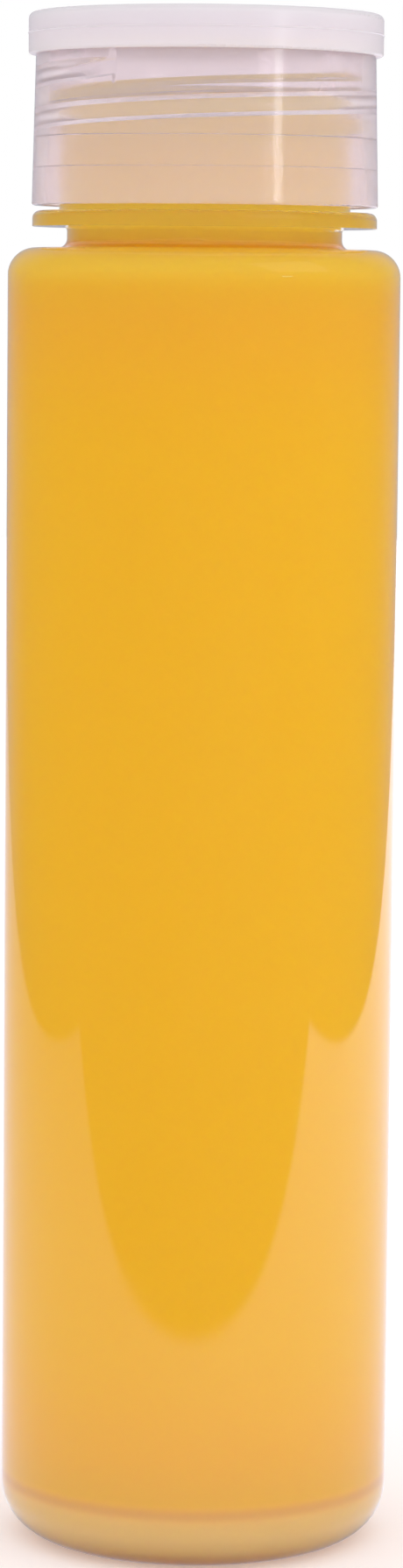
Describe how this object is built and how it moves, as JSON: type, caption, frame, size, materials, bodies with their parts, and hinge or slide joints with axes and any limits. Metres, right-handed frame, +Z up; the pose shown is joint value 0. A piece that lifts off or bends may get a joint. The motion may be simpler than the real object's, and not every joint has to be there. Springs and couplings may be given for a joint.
{
  "type": "plastic bottle",
  "caption": "Slim cylindrical clear plastic bottle filled with cloudy amber liquid, with a flat shoulder, a neck ring and a translucent screw cap that unscrews along its thread.",
  "frame": {"origin": "middle of the base, on the plane of the ring it stands on", "axes": "+Z up the bottle's axis through the neck and cap; the picture's view looks along +Y"},
  "size_m": [0.03, 0.03, 0.1174],
  "materials": {
    "clear_bottle": "clear glossy blown plastic",
    "amber_liquid": "cloudy amber liquid",
    "milky_cap": "translucent natural moulded plastic with a soft gloss",
    "liner_foam": "white foamed sealing disc"
  },
  "bodies": {
    "bottle": {"bottle": "clear_bottle", "liquid": "amber_liquid"},
    "liner": {"cap_liner": "liner_foam"},
    "cap": {"cap": "milky_cap"}
  },
  "joints": [
    {"name": "cap_lift", "type": "slide", "parent": "bottle", "child": "liner", "axis": [0, 0, 1], "range_m": [0, 0.0382]},
    {"name": "cap_turn", "type": "hinge", "parent": "liner", "child": "cap", "pos_m": [0, 0, 0.11], "axis": [0, 0, 1], "range_deg": [0, 4320]}
  ],
  "couplings": [
    {"joint": "cap_lift", "follows": "cap_turn", "m_per_rad": 0.00050532}
  ]
}
